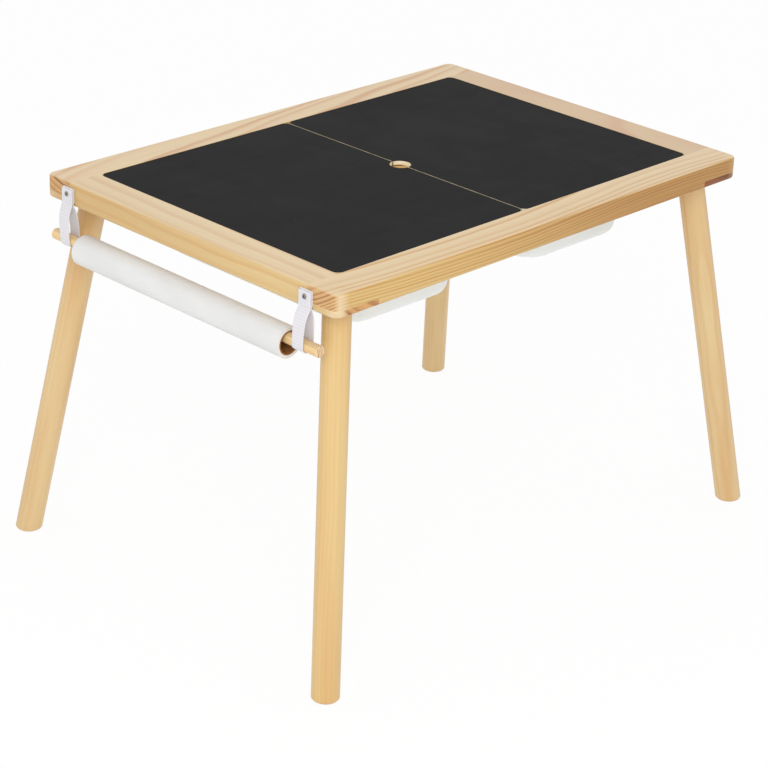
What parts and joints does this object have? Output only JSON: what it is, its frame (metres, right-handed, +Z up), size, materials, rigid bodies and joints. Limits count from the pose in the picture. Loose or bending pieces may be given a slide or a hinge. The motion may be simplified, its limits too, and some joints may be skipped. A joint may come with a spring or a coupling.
{
  "type": "kids table with storage",
  "caption": "Low wooden children's table with lift-off blackboard lids over plastic storage bins, splayed round legs and a hanging paper roll at one end.",
  "frame": {"origin": "on the floor, at the centre between the four feet", "axes": "+X along the long side, away from the end with the paper roll; +Y across the table; +Z up"},
  "size_m": [0.8894, 0.6614, 0.548],
  "materials": {
    "pine": "clear satin lacquer over planed pine",
    "pine_turned": "clear satin lacquer over turned pine",
    "dowel_beech": "raw beech",
    "zinc_steel": "zinc plated",
    "insert_brass": "plain brass",
    "lid_board": "raw edge of thin board",
    "blackboard": "matt black writing surface",
    "bin_plastic": "white moulded plastic, satin",
    "cotton_webbing": "white twill cotton webbing",
    "dark_screw": "black oxide",
    "core_cardboard": "brown spiral-wound board",
    "roll_paper": "white uncoated paper"
  },
  "bodies": {
    "frame": {"long_rail_front": "pine", "long_rail_back": "pine", "end_rail_left": "pine", "end_rail_right": "pine", "centre_rail": "pine", "centre_rail_dowels": "dowel_beech", "leg_front_left": "pine_turned", "leg_front_right": "pine_turned", "leg_back_left": "pine_turned", "leg_back_right": "pine_turned", "leg_bolt_front_left": "zinc_steel", "leg_bolt_front_right": "zinc_steel", "leg_bolt_back_left": "zinc_steel", "leg_bolt_back_right": "zinc_steel", "leg_insert_front_left": "insert_brass", "leg_insert_front_right": "insert_brass", "leg_insert_back_left": "insert_brass", "leg_insert_back_right": "insert_brass", "strap_tab_front": "cotton_webbing", "strap_tab_back": "cotton_webbing", "strap_screw_front": "dark_screw", "strap_screw_back": "dark_screw"},
    "bin_left": {"bin_left": "bin_plastic"},
    "bin_right": {"bin_right": "bin_plastic"},
    "lid_left": {"lid_left": "lid_board", "blackboard_left": "blackboard"},
    "lid_right": {"lid_right": "lid_board", "blackboard_right": "blackboard"},
    "holder": {"strap_loop_front": "cotton_webbing", "strap_loop_back": "cotton_webbing"},
    "rod": {"holder_rod": "pine_turned"},
    "roll": {"paper_core": "core_cardboard", "paper_roll": "roll_paper"}
  },
  "joints": [
    {"name": "bin_left_lift", "type": "slide", "parent": "frame", "child": "bin_left", "axis": [0, 0, 1], "range_m": [0, 0.15]},
    {"name": "bin_right_lift", "type": "slide", "parent": "frame", "child": "bin_right", "axis": [0, 0, 1], "range_m": [0, 0.15]},
    {"name": "lid_left_lift", "type": "slide", "parent": "bin_left", "child": "lid_left", "axis": [0, 0, 1], "range_m": [0, 0.15]},
    {"name": "lid_right_lift", "type": "slide", "parent": "bin_right", "child": "lid_right", "axis": [0, 0, 1], "range_m": [0, 0.15]},
    {"name": "holder_swing", "type": "hinge", "parent": "frame", "child": "holder", "pos_m": [-0.4024, 0, 0.5165], "axis": [0, 1, 0], "range_deg": [-15, 60]},
    {"name": "rod_slide", "type": "slide", "parent": "holder", "child": "rod", "axis": [0, 1, 0], "range_m": [-0.52, 0.52]},
    {"name": "roll_spin", "type": "hinge", "parent": "holder", "child": "roll", "pos_m": [-0.404, 0, 0.46205], "axis": [0, 1, 0], "continuous": true}
  ]
}
